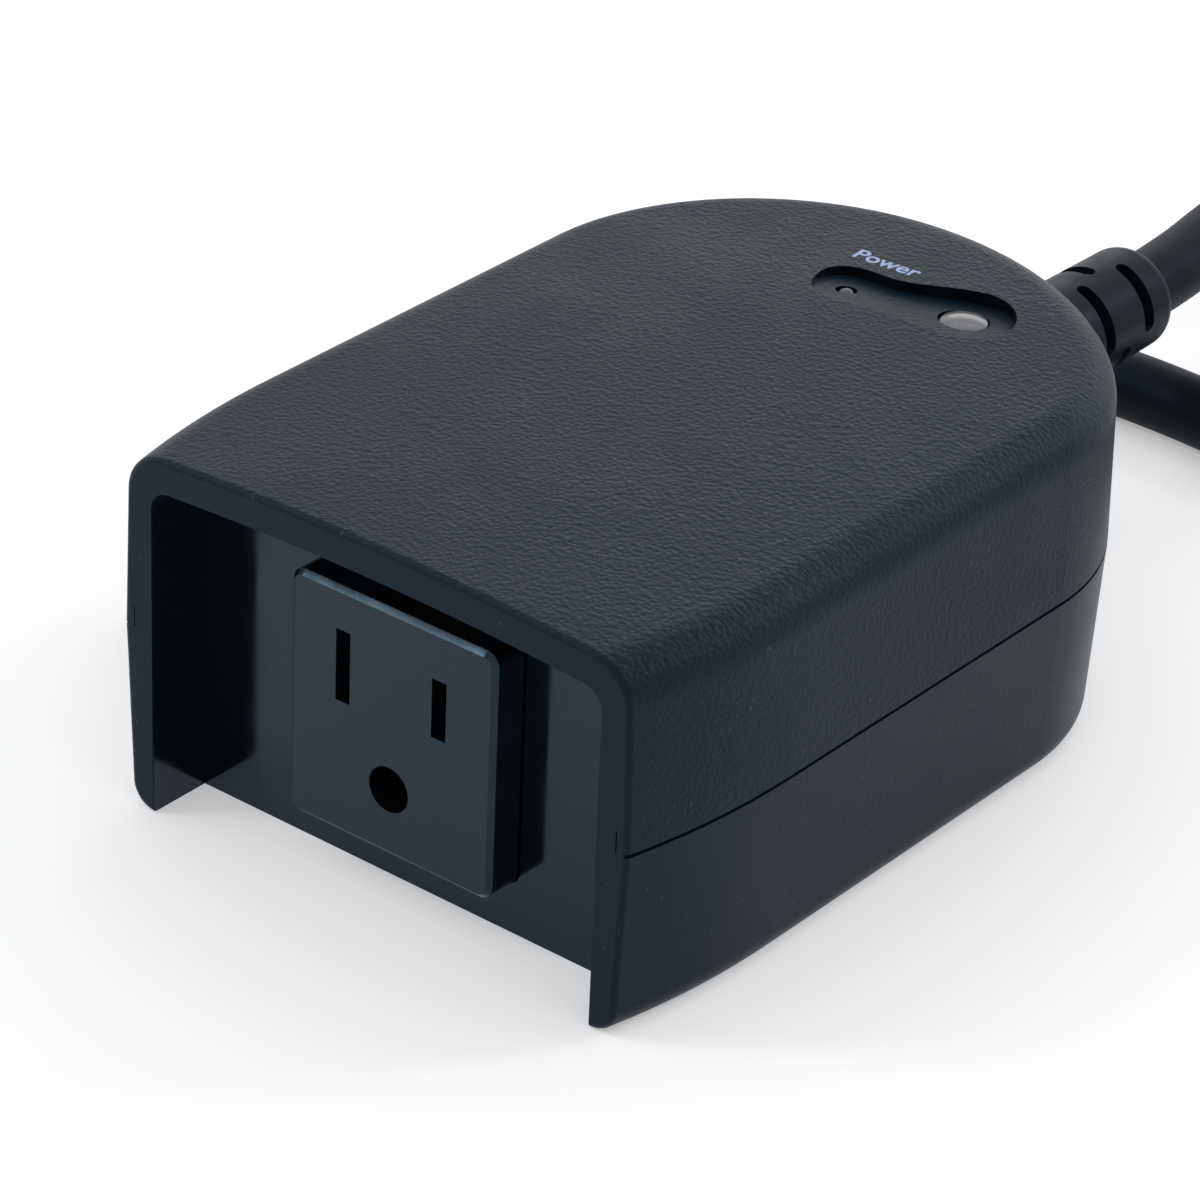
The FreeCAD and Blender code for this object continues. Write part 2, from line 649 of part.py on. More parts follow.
# Lamp and light sensor
def lamp():
    """Small round lamp on two legs, its dome level with the recess."""
    foot = V(LAMP_AT.x, LAMP_AT.y, SENSOR_TOP)
    shoulder = foot + V(0, 0, SENSOR_HEIGHT)
    dome_centre = V(LAMP_AT.x, LAMP_AT.y, CENTRE_HEIGHT - LAMP_DROP - LAMP_RADIUS)
    body = rod(LAMP_RADIUS, shoulder, dome_centre)
    rim = rod(LAMP_RADIUS + LAMP_FOOT, shoulder, shoulder + V(0, 0, 1))
    dome = Part.makeSphere(LAMP_RADIUS, dome_centre)
    return body.fuse([rim, dome] + legs(foot, LAMP_LEG, SENSOR_HEIGHT)).removeSplitter()


def legs(foot, apart, height):
    """Two wire legs through the small board and into the part above it."""
    low = V(0, 0, -SENSOR_BOARD_THICK - 1)
    high = V(0, 0, height + 0.3)
    return [rod(LEG_RADIUS, foot + V(x, 0, 0) + low, foot + V(x, 0, 0) + high) for x in (-apart, apart)]


def sensor_lens():
    """Clear window over the light sensor, held by its flange under the top."""
    flange_top = V(LENS_AT.x, LENS_AT.y, PAD_LOW - FIT_GAP / 2)
    flange = rod(LENS_RADIUS + LENS_GAP + 1, flange_top - V(0, 0, LENS_FLANGE), flange_top)
    edge = V(LENS_AT.x, LENS_AT.y, CENTRE_HEIGHT - LENS_DROP)
    stem = rod(LENS_RADIUS, flange_top, edge)
    sink = math.sqrt(LENS_CURVE ** 2 - LENS_RADIUS ** 2)
    dome = Part.makeSphere(LENS_CURVE, edge - V(0, 0, sink))
    dome = dome.common(rod(LENS_RADIUS, flange_top, edge + V(0, 0, LENS_RADIUS)))
    return flange.fuse([stem, dome]).removeSplitter()


def light_sensor():
    foot = V(LENS_AT.x, LENS_AT.y, SENSOR_TOP)
    body = rod(SENSOR_RADIUS, foot, foot + V(0, 0, SENSOR_HEIGHT))
    return body.fuse(legs(foot, SENSOR_LEG, 0)).removeSplitter()


def sensor_board():
    low = SENSOR_TOP - SENSOR_BOARD_THICK
    x0 = LAMP_AT.x - 4
    x1 = LENS_AT.x + 10
    board = rounded_block(x0, x1, LAMP_AT.y - 4, LENS_AT.y + 5, low, SENSOR_TOP, 1.5, UP)
    under = V(0, 0, low - 1)
    over = V(0, 0, SENSOR_TOP + 1)
    holes = [rod(BOARD_SCREW + FIT_GAP, p + under, p + over) for p in sensor_posts()]
    for place, apart in ((LAMP_AT, LAMP_LEG), (LENS_AT, SENSOR_LEG)):
        for leg in (place + V(-apart, 0, 0), place + V(apart, 0, 0)):
            holes.append(rod(LEG_RADIUS + FIT_GAP / 2, leg + under, leg + over))
    return board.cut(holes)


def small_screw(place, seat, down):
    """Board screw whose head bears on seat and whose thread points along down."""
    way = V(0, 0, -1) if down else V(0, 0, 1)
    at = place + V(0, 0, seat)
    head = rod(BOARD_SCREW * 1.9, at, at - way * 1.1)
    cross = block(-0.3, 0.3, -1.2, 1.2, -0.5, 0.5).fuse(block(-1.2, 1.2, -0.3, 0.3, -0.5, 0.5))
    cross.translate(at - way * 1.1)
    return head.fuse(rod(BOARD_SCREW - 0.05, at, at + way * (BOARD_SCREW_LENGTH - 2))).cut(cross)


def board_screws():
    screws = [small_screw(p, BOARD_TOP, True) for p in board_posts()]
    low = SENSOR_TOP - SENSOR_BOARD_THICK
    screws += [small_screw(p, low, False) for p in sensor_posts()]
    return Part.makeCompound(screws)


def housing_screws():
    screws = []
    for place in boss_places():
        seat = place + V(0, 0, SCREW_WELL)
        head = rod(SCREW_HEAD, seat - V(0, 0, SCREW_HEAD_THICK), seat)
        shank = rod(SCREW_RADIUS - 0.05, seat, seat + V(0, 0, SCREW_LENGTH))
        low = seat - V(0, 0, SCREW_HEAD_THICK)
        cross = block(-0.5, 0.5, -1.9, 1.9, -1, 1).fuse(block(-1.9, 1.9, -0.5, 0.5, -1, 1))
        cross.translate(low)
        screws.append(head.fuse(shank).cut(cross))
    return Part.makeCompound(screws)


# Main board and what stands on it
def circuit_board():
    half = BOARD_WIDTH / 2
    board = rounded_block(-half, half, BOARD_Y, BOARD_REAR, BOARD_HEIGHT, BOARD_TOP, 2, UP)
    holes = [rod(BOARD_SCREW + FIT_GAP, p + V(0, 0, BOARD_HEIGHT - 1), p + V(0, 0, BOARD_TOP + 1))
             for p in board_posts()]
    return board.cut(holes)


def boxed_part(x, y, width, length, height, round_edge=0.8):
    """A moulded component that stands on the board."""
    x0 = x - width / 2
    y0 = y - length / 2
    body = block(x0, x0 + width, y0, y0 + length, BOARD_TOP, BOARD_TOP + height)
    return body.makeFillet(round_edge, body.Edges)


def relay():
    x, width, height = RELAY_SIZE
    front = BOARD_Y + RELAY_START
    rear = DIAL_Y - RELAY_END
    return boxed_part(x, (front + rear) / 2, width, rear - front, height)


def film_capacitor():
    x, width, height = FILM_SIZE
    front = DIAL_Y + FILM_START
    rear = BOARD_REAR - FILM_END
    return boxed_part(x, (front + rear) / 2, width, rear - front, height)


def smoothing_capacitor():
    x, inset = SMOOTHING_PLACE
    foot = V(x, BOARD_REAR - inset, BOARD_TOP)
    body = rod(4.0, foot, foot + V(0, 0, 12))
    rim = [e for e in body.Edges if isinstance(e.Curve, Part.Circle)]
    body = body.makeFillet(0.6, rim)
    groove = Part.makeTorus(4.3, 0.6, foot + V(0, 0, 2.2), UP)
    return body.cut(groove)


def varistor():
    foot = V(5.8, DIAL_Y - 8, BOARD_TOP)
    disc = rod(5.0, foot + V(0, -2, 7.5), foot + V(0, 2, 7.5))
    disc = disc.makeFillet(1.6, [e for e in disc.Edges if isinstance(e.Curve, Part.Circle)])
    legs = [rod(0.4, foot + V(x, 0, 0), foot + V(x, 0, 4.6)) for x in (-2.5, 2.5)]
    return disc.fuse(legs).removeSplitter()


def control_chip():
    return boxed_part(6.5, DIAL_Y + 1, 6.0, 5.0, 1.7, 0.3)


def fuse_holder():
    x, inset = FUSE_PLACE
    foot = V(x, BOARD_Y + inset, BOARD_TOP)
    body = rod(2.6, foot + V(0, -6, 3.0), foot + V(0, 8, 3.0))
    caps = [rod(3.0, foot + V(0, y, 3.0), foot + V(0, y + 3.5, 3.0)) for y in (-6.5, 5)]
    return body.fuse(caps).removeSplitter()


# Setting dial
def seal_seat_radius():
    return SHAFT_RADIUS + 2 * DIAL_SEAL + 0.2


def seal_seat_height():
    return WELL_TOP - 2 * DIAL_SEAL - 0.1


def dial_y(shape):
    shape.translate(V(0, DIAL_Y, 0))
    return shape


def timer_dial():
    """Coin-slot dial: disc in the well, shaft through the floor and a flat for the switch."""
    low = DIAL_RECESS
    disc = Part.makeCylinder(DIAL_RADIUS, DIAL_THICK, V(0, 0, low), UP)
    disc = disc.makeChamfer(0.4, [e for e in disc.Edges if abs(e.BoundBox.ZMax - low) < 1e-4
                                  and isinstance(e.Curve, Part.Circle)])
    shaft = Part.makeCylinder(SHAFT_RADIUS, BOARD_HEIGHT - 1.5 - low - 1, V(0, 0, low + 1), UP)
    dial = disc.fuse(shaft)
    half = COIN_SLOT_WIDTH / 2
    reach = DIAL_RADIUS - 2.2
    slot = rounded_block(-half, half, -reach, reach, low - 1, low + COIN_SLOT_DEPTH, half * 0.98, UP)
    clip_z = WELL_TOP + CLIP_GAP
    groove = Part.makeCylinder(SHAFT_RADIUS + 1, CLIP_THICK + 0.1, V(0, 0, clip_z - 0.05), UP)
    groove = groove.cut(Part.makeCylinder(SHAFT_RADIUS - 0.4, 5, V(0, 0, clip_z - 2), UP))
    flat = block(-5, 5, SHAFT_RADIUS - 0.7, 5, clip_z + 1.5, 30)
    grips = []
    for index in range(24):
        notch = Part.makeCylinder(0.35, DIAL_THICK + 2, V(DIAL_RADIUS + 0.1, 0, low - 1), UP)
        notch.rotate(V(0, 0, 0), UP, index * 15)
        grips.append(notch)
    return dial_y(dial.cut([slot, groove, flat] + grips).removeSplitter())


def dial_clip():
    low = WELL_TOP + CLIP_GAP
    ring = Part.makeCylinder(CLIP_RADIUS, CLIP_THICK, V(0, 0, low), UP)
    ring = ring.cut(Part.makeCylinder(SHAFT_RADIUS - 0.35, 5, V(0, 0, low - 1), UP))
    return dial_y(ring.cut(block(-1.2, 1.2, -10, 0, low - 1, low + 3)))


def dial_seal():
    middle = V(0, 0, WELL_TOP - DIAL_SEAL - 0.05)
    return dial_y(Part.makeTorus(SHAFT_RADIUS + DIAL_SEAL + 0.1, DIAL_SEAL, middle, UP))


def rotary_switch():
    half = SWITCH_WIDTH / 2
    low = BOARD_HEIGHT - SWITCH_HEIGHT
    body = rounded_block(-half, half, -half, half, low, BOARD_HEIGHT, 1.5, UP)
    bore = Part.makeCylinder(SHAFT_RADIUS + SHAFT_GAP, SWITCH_HEIGHT - 1, V(0, 0, low), UP)
    return dial_y(body.cut(bore))


# Cord, strain relief and inner leads
def relief_slot(y, centre_angle):
    """Slot with round ends, cut crosswise into the sleeve over part of its girth."""
    low = RELIEF_CORE / 2
    profile = Part.Face(Part.makePolygon([
        V(low, y - RELIEF_SLOT / 2, 0),
        V(RELIEF_DIAMETER, y - RELIEF_SLOT / 2, 0),
        V(RELIEF_DIAMETER, y + RELIEF_SLOT / 2, 0),
        V(low, y + RELIEF_SLOT / 2, 0),
        V(low, y - RELIEF_SLOT / 2, 0),
    ]))
    slot = profile.revolve(V(0, 0, 0), ALONG, -SLOT_SWEEP)
    ends = [Part.makeCylinder(RELIEF_SLOT / 2, RELIEF_DIAMETER - low, V(low, y, 0), ACROSS) for _ in (0, 1)]
    ends[1].rotate(V(0, 0, 0), ALONG, -SLOT_SWEEP)
    slot = slot.fuse(ends)
    slot.rotate(V(0, 0, 0), ALONG, SLOT_SWEEP / 2 - centre_angle)
    slot.translate(V(0, 0, PARTING_HEIGHT))
    return slot


def cord_strain_relief():
    """Moulded relief with a collar in the rear wall and crosswise slots that let it bend."""
    centre = V(0, 0, PARTING_HEIGHT)
    neck_start = COLLAR_Y - FIT_GAP - RIB - RELIEF_TAIL
    neck = rod(RELIEF_NECK / 2, centre + V(0, neck_start, 0), centre + V(0, RELIEF_Y + 1, 0))
    collar_start = centre + V(0, COLLAR_Y, 0)
    collar = rod(COLLAR_DIAMETER / 2, collar_start, collar_start + V(0, COLLAR_THICK, 0))
    sleeve = Part.makeCone(RELIEF_DIAMETER / 2, RELIEF_END_DIAMETER / 2, RELIEF_LENGTH,
                           V(0, RELIEF_Y, PARTING_HEIGHT), ALONG)
    end = [e for e in sleeve.Edges if abs(e.BoundBox.YMin - RELIEF_END_Y) < 1e-4]
    sleeve = sleeve.makeFillet((RELIEF_END_DIAMETER - CORD_DIAMETER) / 2 - 0.1, end)
    slots = []
    for index in range(RELIEF_SLOTS):
        y = RELIEF_Y + RELIEF_FIRST + index * RELIEF_PITCH
        turn = SLOT_CENTRE + 90 * (index % 2)
        slots.append(relief_slot(y, turn))
        slots.append(relief_slot(y, turn + 180))
    return sleeve.cut(slots).fuse([neck, collar]).removeSplitter()


def lead(points):
    solid, length, radii = tube(points, LEAD_RADIUS)
    return solid


def lead_start(x, z):
    return V(x, COLLAR_Y - FIT_GAP - RIB - RELIEF_TAIL, PARTING_HEIGHT + z)


def supply_lead(side):
    """Lead from the strain relief down to the rear of the main board."""
    start = lead_start(side * 2.6, 1.4)
    foot = V(side * 14.0, BOARD_REAR - 8, BOARD_TOP)
    bend = V(side * 9, start.y - 9, SENSOR_TOP - SENSOR_BOARD_THICK - LEAD_DROP)
    return lead([start, start - V(0, 4, 0), bend, foot + V(0, 0, 8), foot])


def line_lead():
    return supply_lead(-1)


def neutral_lead():
    return supply_lead(1)


def ground_lead():
    """Lead under the main board, beside the switch, to the outlet's ground contact."""
    start = lead_start(0, -3.2)
    low = (WALL + BOARD_HEIGHT) / 2
    end = V(0, BLOCK_BACK - FIT_GAP, GROUND_Z)
    side = -POST_INSET - SWITCH_WIDTH / 2 - 3
    return lead([
        start,
        start - V(0, 3.2, 0),
        V(-5, BOARD_REAR + 2.8, BOARD_HEIGHT - 1),
        V(side, BOARD_REAR - 5, low),
        V(side, BOARD_Y + 11, low),
        V(-7, BOARD_Y - 0.5, low + 0.5),
        end + V(0, 3.8, 0),
        end,
    ])


def switched_lead():
    foot = V(7.5, BOARD_Y + 2.5, BOARD_TOP)
    end = V(SLOT_PITCH / 2, BLOCK_BACK - FIT_GAP, SLOT_Z)
    return lead([foot, foot + V(0, 0, 7), end + V(0, 6, 0), end])


def return_lead():
    foot = V(-7.5, BOARD_Y + 2.5, BOARD_TOP)
    end = V(-SLOT_PITCH / 2, BLOCK_BACK - FIT_GAP, SLOT_Z)
    return lead([foot, foot + V(0, 0, 7), end + V(0, 6, 0), end])


# Plug on the cord's far end
def plug_outline(y, narrow, low):
    """Flat underneath, straight sides and a round top."""
    half = PLUG_WIDTH / 2 - narrow
    side = PLUG_SIDE
    points = [V(-half, y, side), V(-half, y, low), V(half, y, low), V(half, y, side)]
    edges = [Part.LineSegment(a, b).toShape() for a, b in zip(points, points[1:])]
    edges.append(Part.Arc(points[3], V(0, y, side + half), points[0]).toShape())
    return Part.Wire(edges)


def plug_section(y, narrow, low, thick):
    return Part.Face(plug_outline(y, narrow, low)).extrude(V(0, thick, 0))


def plug_body():
    """Moulded plug: flange, tapering grip with ribs, ringed neck and slotted relief."""
    flange = plug_section(PLUG_FACE_Y, 0, 0, PLUG_FLANGE)
    rear = [e for e in flange.Edges if abs(e.BoundBox.YMin - PLUG_FACE_Y - PLUG_FLANGE) < 1e-4]
    flange = flange.makeChamfer(1.0, rear)
    start = PLUG_FACE_Y + PLUG_FLANGE - 0.5
    narrow = (PLUG_WIDTH - PLUG_WAIST) / 2
    grip = Part.makeLoft([plug_outline(start, 1.6, 1.2), plug_outline(start + 9, 1.8, 1.2),
                          plug_outline(PLUG_REAR_Y - 6, narrow, 1.6)], True, False)
    centre = V(0, 0, PLUG_EXIT_HEIGHT)
    waist = plug_outline(PLUG_REAR_Y - 6, narrow, 1.6)
    shoulder = Part.makeLoft([waist, neck_outline(PLUG_REAR_Y)], True, True)
    ring = Part.makeTorus(PLUG_NECK / 2 - 0.3, 1.4, V(0, PLUG_REAR_Y + 0.6, PLUG_EXIT_HEIGHT), ALONG)
    cone = Part.makeCone(PLUG_NECK / 2, CORD_DIAMETER / 2 + 0.8, PLUG_RELIEF,
                         centre + V(0, PLUG_REAR_Y, 0), ALONG)
    ribs = []
    for index in range(RIB_COUNT):
        y = start + 4 + index * RIB_PITCH
        band = plug_section(y, -3, PLUG_SIDE - 2, RIB_PITCH / 2)
        band = band.cut(plug_section(y - 1, 1.7 + RIB_DEPTH + index * 0.25, -5, 5))
        ribs.append(band)
    slots = []
    for index in range(4):
        slots.append(plug_slot(PLUG_REAR_Y + 4.2 + index * 3.4, index % 2 == 0))
    body = flange.fuse([grip, shoulder]).cut(ribs)
    body = body.fuse([cone.cut(slots), ring])
    cuts = []
    for x, height in ((SLOT_PITCH / 2, LINE_BLADE), (-SLOT_PITCH / 2, NEUTRAL_BLADE)):
        cuts.append(blade_form(x, height))
    cuts.append(pin_form())
    body = body.cut(cuts).removeSplitter()
    body.translate(V(PLUG_X, 0, 0))
    return body


def neck_outline(y):
    """Round neck drawn with the same five edges as the grip, so the two can be lofted."""
    radius = PLUG_NECK / 2
    centre = V(0, y, PLUG_EXIT_HEIGHT)
    angles = [180, 225, 315, 360]

    def on_circle(angle):
        turn = math.radians(angle)
        return centre + V(radius * math.cos(turn), 0, radius * math.sin(turn))

    edges = []
    for first, last in zip(angles, angles[1:]):
        arc = Part.Arc(on_circle(first), on_circle((first + last) / 2), on_circle(last))
        edges.append(arc.toShape())
    edges.append(Part.Arc(on_circle(0), on_circle(90), on_circle(180)).toShape())
    return Part.Wire(edges)


def plug_slot(y, upright):
    ring = Part.makeCylinder(20, 1.5, V(0, y, PLUG_EXIT_HEIGHT), ALONG)
    core = CORD_DIAMETER / 2 + 0.1
    ring = ring.cut(Part.makeCylinder(core, 10, V(0, y - 3, PLUG_EXIT_HEIGHT), ALONG))
    if upright:
        keep = block(-3.4, 3.4, y - 1, y + 5, -20, 60)
    else:
        keep = block(-30, 30, y - 1, y + 5, PLUG_EXIT_HEIGHT - 3.4, PLUG_EXIT_HEIGHT + 3.4)
    return ring.common(keep)


def blade_form(x, height):
    half = BLADE_THICK / 2
    tip = PLUG_FACE_Y - BLADE_LENGTH
    low = BLADE_HEIGHT - height / 2
    blade = block(x - half, x + half, tip, PLUG_FACE_Y + BLADE_ROOT, low, low + height)
    ends = [e for e in blade.Edges if abs(e.BoundBox.YMax - tip) < 1e-4]
    blade = blade.makeChamfer(0.45, ends)
    hole = Part.makeCylinder(BLADE_HOLE, 10, V(x - 5, tip + 4.0, BLADE_HEIGHT), ACROSS)
    return blade.cut(hole)


def pin_form():
    z = BLADE_HEIGHT + GROUND_DROP
    tip = PLUG_FACE_Y - PIN_LENGTH
    pin = Part.makeCylinder(PIN_RADIUS, PIN_LENGTH - PIN_STEP, V(0, tip, z), ALONG)
    end = [e for e in pin.Edges if abs(e.BoundBox.YMax - tip) < 1e-4]
    pin = pin.makeFillet(PIN_RADIUS * 0.8, end)
    root = rod(PIN_ROOT, V(0, PLUG_FACE_Y - 1, z), V(0, PLUG_FACE_Y + BLADE_ROOT, z))
    return pin.fuse(root).removeSplitter()


def placed(shape):
    shape.translate(V(PLUG_X, 0, 0))
    return shape


def supply_cord():
    solid, length, radii = tube(CORD_ROUTE, CORD_DIAMETER / 2)
    section = math.pi * CORD_DIAMETER ** 2 / 4
    print("cord length", round(length, 1), "radii", [round(r, 1) for r in radii])
    print("cord volume over section and length", round(solid.Volume / (section * length), 4))
    return solid


NODES = {
    "top_shell": top_shell,
    "bottom_shell": bottom_shell,
    "housing_seals": housing_seals,
    "housing_screws": housing_screws,
    "outlet_block": outlet_block,
    "outlet_cap": outlet_cap,
    "contact_line": lambda: blade_contact(SLOT_PITCH / 2),
    "contact_neutral": lambda: blade_contact(-SLOT_PITCH / 2),
    "contact_ground": ground_contact,
    "power_lamp": lamp,
    "sensor_lens": sensor_lens,
    "light_sensor": light_sensor,
    "sensor_board": sensor_board,
    "board_screws": board_screws,
    "circuit_board": circuit_board,
    "relay": relay,
    "film_capacitor": film_capacitor,
    "smoothing_capacitor": smoothing_capacitor,
    "varistor": varistor,
    "control_chip": control_chip,
    "fuse_holder": fuse_holder,
    "rotary_switch": rotary_switch,
    "timer_dial": timer_dial,
    "dial_clip": dial_clip,
    "dial_seal": dial_seal,
    "line_lead": line_lead,
    "neutral_lead": neutral_lead,
    "ground_lead": ground_lead,
    "switched_lead": switched_lead,
    "return_lead": return_lead,
    "cord_strain_relief": cord_strain_relief,
    "supply_cord": supply_cord,
    "plug_body": plug_body,
    "plug_blade_line": lambda: placed(blade_form(SLOT_PITCH / 2, LINE_BLADE)),
    "plug_blade_neutral": lambda: placed(blade_form(-SLOT_PITCH / 2, NEUTRAL_BLADE)),
    "plug_ground_pin": lambda: placed(pin_form()),
}

os.makedirs("parts", exist_ok=True)
for node_name, make in NODES.items():
    save(node_name, make())
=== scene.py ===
"""Outdoor plug-in timer: the finish of its housing, outlet, dial and boards, and its cord and plug."""

import math

import bpy
from bpy.props import FloatProperty, FloatVectorProperty, IntProperty, PointerProperty, StringProperty
from mathutils import Matrix, Vector


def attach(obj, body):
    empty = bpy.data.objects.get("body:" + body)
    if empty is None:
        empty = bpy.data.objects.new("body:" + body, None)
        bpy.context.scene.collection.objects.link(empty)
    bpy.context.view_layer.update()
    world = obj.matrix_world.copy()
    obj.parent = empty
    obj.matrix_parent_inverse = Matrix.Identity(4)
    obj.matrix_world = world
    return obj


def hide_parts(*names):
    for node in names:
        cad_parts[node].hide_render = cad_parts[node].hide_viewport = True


bl_info = {
    "name": "Outdoor plug-in timer",
    "version": (1, 0, 0),
    "blender": (4, 5, 0),
    "location": "View3D > Sidebar > Timer",
    "description": "Finishes the timer's housing, outlet, dial and boards, and lays its cord",
    "category": "Object",
}

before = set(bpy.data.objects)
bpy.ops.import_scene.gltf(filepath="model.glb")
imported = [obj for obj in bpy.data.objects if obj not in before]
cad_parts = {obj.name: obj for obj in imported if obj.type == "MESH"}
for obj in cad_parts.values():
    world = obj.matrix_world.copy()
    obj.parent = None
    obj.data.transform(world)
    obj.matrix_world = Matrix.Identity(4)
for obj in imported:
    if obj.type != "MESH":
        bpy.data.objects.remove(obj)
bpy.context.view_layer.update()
MM = 0.001
HOUSING = "housing"
DIAL = "dial"

# Route of the cord in metres, from the strain relief to the plug
CORD_ROUTE = (
    (0, 0.0855, 0.0216),
    (0, 0.094, 0.0216),
    (-0.0014, 0.108, 0.0223),
    (-0.0030, 0.124, 0.0208),
    (-0.0020, 0.1405, 0.0152),
    (0.0050, 0.1575, 0.0094),
    (0.0178, 0.1712, 0.0056),
    (0.0362, 0.1777, 0.0043),
    (0.0566, 0.1750, 0.0043),
    (0.0734, 0.1632, 0.0043),
    (0.0828, 0.1452, 0.0043),
    (0.0829, 0.1252, 0.0043),
    (0.0738, 0.1074, 0.0043),
    (0.0570, 0.0960, 0.0043),
    (0.0366, 0.0933, 0.0043),
    (0.016, 0.0934, 0.0043),
    (-0.0017, 0.0949, 0.0043),
    (-0.0192, 0.0935, 0.0043),
    (-0.0349, 0.0854, 0.0043),
    (-0.0462, 0.0719, 0.0054),
    (-0.0512, 0.055, 0.0082),
    (-0.0512, 0.042, 0.0082),
)

# Floor and camera
FLOOR_SIZE = 6
SENSOR_WIDTH = 36
CLIP = (0.01, 20)

# Each lamp's name, place and size in metres, and where the lamps aim
LAMPS = (
    ("lamp_overhead", (-0.15, 0.25, 0.8), (0.8, 0.8)),
    ("lamp_rear", (-0.2, 0.8, 0.3), (0.9, 0.3)),
    ("lamp_front", (-0.53, -0.47, 0.66), (0.2, 0.2)),
    ("lamp_right", (0.5, 0.68, 0.53), (0.2, 0.2)),
)
LAMP_AIM = (0, 0, 0.02)

# Places on the housing, in metres
DIAL_CENTRE = (0, 0.0071)
DIAL_FACE = 0.0004
HOOD_HALF = 0.0297
HOOD_FRONT = -0.05005
PANEL_FACE = -0.0421
HOOD_CEILING = 0.0402
RECESS_LOW = (-0.0050, 0.0235, 0.0405)
RECESS_HIGH = (0.0190, 0.0375, 0.0434)
DIAL_WORDS = ("OFF", "ON", "DUSK", "2H", "4H", "6H", "8H", "10H")
DIAL_STEP = math.radians(45)
LETTER_WEIGHT = 0.02
POINTER_LIFT = 0.02 * MM
POINTER_THICK = 0.03 * MM
POINTER_START = 6.6 * MM
POINTER_END = 8.0 * MM
POINTER_HALF = 0.8 * MM


# Settings that a user would change
class TimerStage(bpy.types.PropertyGroup):
    """The camera, floor and lights."""

    azimuth: FloatProperty(name="Azimuth", description="Camera's turn round the timer",
                           default=math.radians(37.995), subtype="ANGLE")
    elevation: FloatProperty(name="Elevation", description="Camera's height above the horizon",
                             default=math.radians(29.812), subtype="ANGLE")
    roll: FloatProperty(name="Roll", description="Camera's tilt about its own axis",
                        default=math.radians(2.425), subtype="ANGLE")
    distance: FloatProperty(name="Distance", description="From the camera to its target",
                            default=0.5549, unit="LENGTH")
    target: FloatVectorProperty(name="Target", description="Where the camera looks",
                                default=(-0.00108, -0.01217, 0.02079), subtype="XYZ")
    lens: FloatProperty(name="Lens", description="Focal length on a 36 mm sensor", default=158.7)
    floor_colour: FloatVectorProperty(name="Floor", description="Colour of the floor",
                                      default=(0.82, 0.83, 0.85), subtype="COLOR")
    floor_glow: FloatProperty(name="Floor's whiteness",
                              description="Light added to the floor where it is seen", default=0.34)
    room_light: FloatProperty(name="Room", description="Light from all round", default=0.7)
    key_power: FloatProperty(name="Overhead", description="Power of the lamp over the timer", default=0.5)
    rim_power: FloatProperty(name="Rear", description="Power of the lamp behind the timer", default=0.8)
    edge_power: FloatProperty(name="Edges", description="Power of each small lamp that draws the edges",
                              default=1.2)


class TimerFinish(bpy.types.PropertyGroup):
    """Colours and grain of the mouldings."""

    shell_colour: FloatVectorProperty(name="Shell", description="Colour of the two shells",
                                      default=(0.0030, 0.0074, 0.0125), subtype="COLOR")
    gloss_colour: FloatVectorProperty(name="Outlet", description="Colour of the glossy mouldings",
                                      default=(0.0012, 0.0016, 0.0022), subtype="COLOR")
    jacket_colour: FloatVectorProperty(name="Jacket", description="Colour of the cord and its mouldings",
                                       default=(0.0042, 0.0060, 0.0088), subtype="COLOR")
    print_colour: FloatVectorProperty(name="Print", description="Colour of the printed words",
                                      default=(0.32, 0.40, 0.66), subtype="COLOR")
    grain_size: FloatProperty(name="Grain", description="Size of one pebble of the shell's grain",
                              default=0.0006, unit="LENGTH")
    grain_depth: FloatProperty(name="Grain depth", description="Height of the shell's grain",
                               default=0.00013, unit="LENGTH")
    sheen: FloatProperty(name="Sheen", description="Strength of the reflections on the grained shells",
                         default=0.19, min=0, max=1)
    polish: FloatProperty(name="Polish", description="Strength of the reflections on the glossy mouldings",
                          default=0.5, min=0, max=1)
    jacket_sheen: FloatProperty(name="Jacket sheen", description="Strength of the cord's reflections",
                                default=0.12, min=0, max=1)
    sheen_tint: FloatVectorProperty(name="Sheen tint", description="Colour of the mouldings' reflections",
                                    default=(0.42, 0.72, 1.0), subtype="COLOR")


class TimerLegends(bpy.types.PropertyGroup):
    """Printed words."""

    lamp_word: StringProperty(name="Lamp word", description="Word beside the lamp", default="Power")
    lamp_word_size: FloatProperty(name="Lamp word size", description="Height of its letters' body",
                                  default=0.0031, unit="LENGTH")
    lamp_word_place: FloatVectorProperty(name="Lamp word place", description="Foot of its first letter",
                                         default=(-0.0043, 0.0337, 0.04350), subtype="TRANSLATION")
    lamp_word_turn: FloatProperty(name="Lamp word turn", description="Turn of its line on the top",
                                  default=math.radians(4), subtype="ANGLE")
    dial_word_size: FloatProperty(name="Dial word size", description="Height of the dial's words",
                                  default=0.0026, unit="LENGTH")
    dial_ring: FloatProperty(name="Dial ring", description="Radius of the ring of words round the dial",
                             default=0.0125, unit="LENGTH")
    ink: FloatProperty(name="Ink", description="Thickness of the printed ink", default=0.00002,
                       unit="LENGTH")


class TimerCord(bpy.types.PropertyGroup):
    """The supply cord."""

    diameter: FloatProperty(name="Diameter", description="Across the cord's jacket",
                            default=0.0083, unit="LENGTH")
    sides: IntProperty(name="Sides", description="Half the number of sides of the tube", default=14)


SETTINGS = {
    "timer_stage": TimerStage,
    "timer_finish": TimerFinish,
    "timer_legends": TimerLegends,
    "timer_cord": TimerCord,
}


